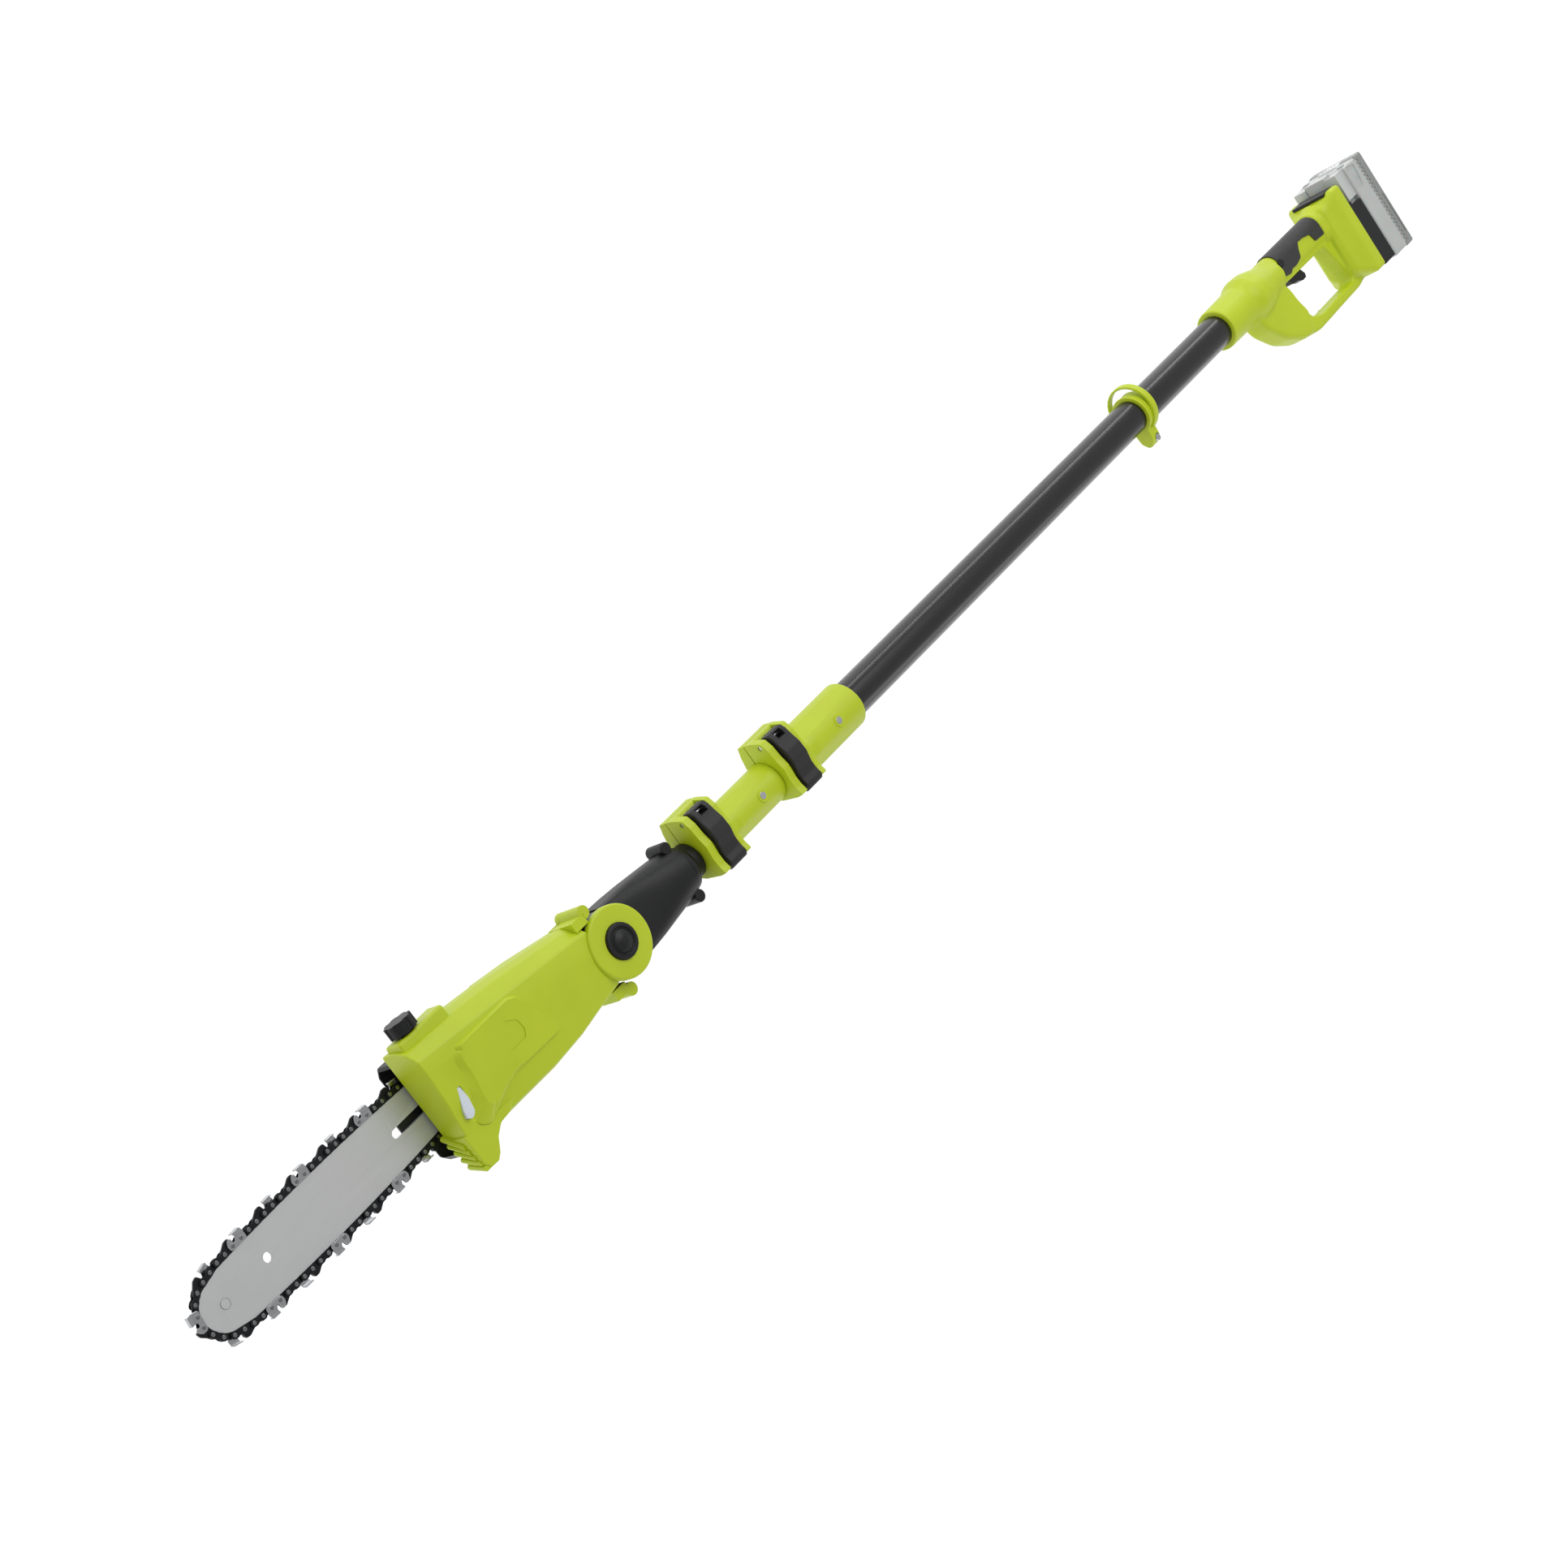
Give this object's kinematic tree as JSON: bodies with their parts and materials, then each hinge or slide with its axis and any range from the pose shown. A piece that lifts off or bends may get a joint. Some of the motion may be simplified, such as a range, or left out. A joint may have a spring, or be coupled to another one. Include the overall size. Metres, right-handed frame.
{
  "type": "telescoping pole saw",
  "caption": "Battery chain saw head with a tilting pivot on a telescoping pole with cam-lever clamps and a rear loop handle.",
  "frame": {"origin": "on the pole's axis, half way along the bare stretch of the outer tube", "axes": "+X forward along the pole to the saw bar, +Y to the trigger side, +Z to the tool's left side; the tool lies on its right side, on -Z"},
  "size_m": [2.1539, 0.1772, 0.0798],
  "materials": {
    "lime_plastic": "moulded, satin",
    "black_plastic": "moulded, satin",
    "grip_rubber": "soft overmould, fine texture",
    "lever_plastic": "moulded, matt",
    "tube_black": "gloss powder coat",
    "tube_inner": "black anodised",
    "bar_steel": "satin ground",
    "chain_steel": "oiled, bright rivets",
    "plain_steel": "machined",
    "zinc_steel": "bright zinc",
    "cast_alloy": "die cast",
    "spring_steel": "drawn wire",
    "motor_steel": "satin",
    "tank_plastic": "translucent moulding",
    "window_clear": "clear lens",
    "battery_clear": "pale grey",
    "cell_sleeve": "heat-shrink sleeve",
    "contact_brass": "plated",
    "gauge_white": "smooth"
  },
  "bodies": {
    "pole": {"outer_tube": "tube_black", "rear_sleeve": "lime_plastic", "rear_sleeve_rivets": "zinc_steel", "rear_clamp_body": "lime_plastic", "rear_clamp_hardware": "zinc_steel", "strap_ring": "lime_plastic", "strap_fastener": "zinc_steel", "handle_shell_left": "lime_plastic", "handle_shell_right": "lime_plastic", "grip_overmould": "grip_rubber", "handle_screws": "zinc_steel", "trigger_pin": "plain_steel", "power_switch": "black_plastic", "rear_inset": "black_plastic", "rail_block": "black_plastic", "rail_terminals": "contact_brass"},
    "rear_lever": {"rear_clamp_lever": "lever_plastic"},
    "middle": {"middle_tube": "tube_inner", "middle_bush": "black_plastic", "front_sleeve": "lime_plastic", "front_sleeve_rivets": "zinc_steel", "front_clamp_body": "lime_plastic", "front_clamp_hardware": "zinc_steel"},
    "front_lever": {"front_clamp_lever": "lever_plastic"},
    "neck": {"inner_tube": "tube_inner", "inner_bush": "black_plastic", "neck_shell_left": "black_plastic", "neck_shell_right": "black_plastic", "neck_screws": "zinc_steel", "pivot_detent": "cast_alloy"},
    "head": {"head_shell_left": "lime_plastic", "head_shell_right": "lime_plastic", "head_screws": "zinc_steel", "pivot_bolt": "plain_steel", "pivot_spring": "spring_steel", "gearbox_plate": "cast_alloy", "motor_can": "motor_steel", "shaft_bearings": "plain_steel", "oil_tank": "tank_plastic", "oil_window": "window_clear", "oil_pump": "black_plastic", "chain_cover": "black_plastic", "bar_fasteners": "zinc_steel", "tension_screw": "zinc_steel", "guide_bar": "bar_steel", "saw_chain": "chain_steel"},
    "pivot_button": {"pivot_button": "black_plastic"},
    "oil_cap": {"oil_cap": "black_plastic"},
    "sprocket": {"drive_gear": "plain_steel", "sprocket_shaft": "plain_steel", "drive_sprocket": "plain_steel"},
    "rotor": {"motor_pinion": "plain_steel"},
    "nose": {"nose_sprocket": "plain_steel"},
    "trigger": {"trigger": "black_plastic"},
    "lock_off": {"lock_off_button": "black_plastic"},
    "battery": {"battery_case": "battery_clear", "battery_cells": "cell_sleeve", "battery_terminals": "contact_brass", "battery_gauge": "gauge_white"},
    "latch": {"battery_latch": "battery_clear"}
  },
  "joints": [
    {"name": "middle_slide", "type": "slide", "parent": "pole", "child": "middle", "axis": [1, 0, 0], "range_m": [0, 0.56]},
    {"name": "inner_slide", "type": "slide", "parent": "middle", "child": "neck", "axis": [1, 0, 0], "range_m": [0, 0.56]},
    {"name": "rear_lever_open", "type": "hinge", "parent": "pole", "child": "rear_lever", "pos_m": [0.43, -0.034, 0.019], "axis": [1, 0, 0], "range_deg": [0, 110]},
    {"name": "front_lever_open", "type": "hinge", "parent": "middle", "child": "front_lever", "pos_m": [0.56, -0.034, 0.019], "axis": [1, 0, 0], "range_deg": [0, 110]},
    {"name": "head_tilt", "type": "hinge", "parent": "neck", "child": "head", "pos_m": [0.721, 0, 0], "axis": [0, 0, 1], "range_deg": [0, 30]},
    {"name": "pivot_button_press", "type": "slide", "parent": "head", "child": "pivot_button", "axis": [0, 0, -1], "range_m": [0, 0.0035], "stiffness_N_per_m": 1500, "deforming": ["pivot_spring"]},
    {"name": "oil_cap_turn", "type": "hinge", "parent": "head", "child": "oil_cap", "pos_m": [0.943, -0.075, 0.013], "axis": [0, -1, 0], "continuous": true},
    {"name": "sprocket_spin", "type": "hinge", "parent": "head", "child": "sprocket", "pos_m": [0.89, -0.0105, 0], "axis": [0, 0, 1], "continuous": true},
    {"name": "rotor_spin", "type": "hinge", "parent": "head", "child": "rotor", "pos_m": [0.85, -0.0105, 0], "axis": [0, 0, 1], "continuous": true},
    {"name": "nose_spin", "type": "hinge", "parent": "head", "child": "nose", "pos_m": [1.21, -0.0105, 0], "axis": [0, 0, 1], "continuous": true},
    {"name": "trigger_pull", "type": "hinge", "parent": "pole", "child": "trigger", "pos_m": [-0.681, 0.006, 0], "axis": [0, 0, 1], "range_deg": [0, 9], "stiffness_Nm_per_rad": 1.2},
    {"name": "lock_off_press", "type": "slide", "parent": "pole", "child": "lock_off", "axis": [0, 0, -1], "range_m": [0, 0.0035], "stiffness_N_per_m": 800},
    {"name": "battery_release", "type": "slide", "parent": "pole", "child": "battery", "axis": [0, -1, 0], "range_m": [0, 0.13]},
    {"name": "battery_latch_press", "type": "slide", "parent": "battery", "child": "latch", "axis": [0, 1, 0], "range_m": [0, 0.004], "stiffness_N_per_m": 600}
  ],
  "couplings": [
    {"joint": "rotor_spin", "follows": "sprocket_spin", "ratio": -3.4444},
    {"joint": "nose_spin", "follows": "sprocket_spin", "ratio": 0.7}
  ]
}
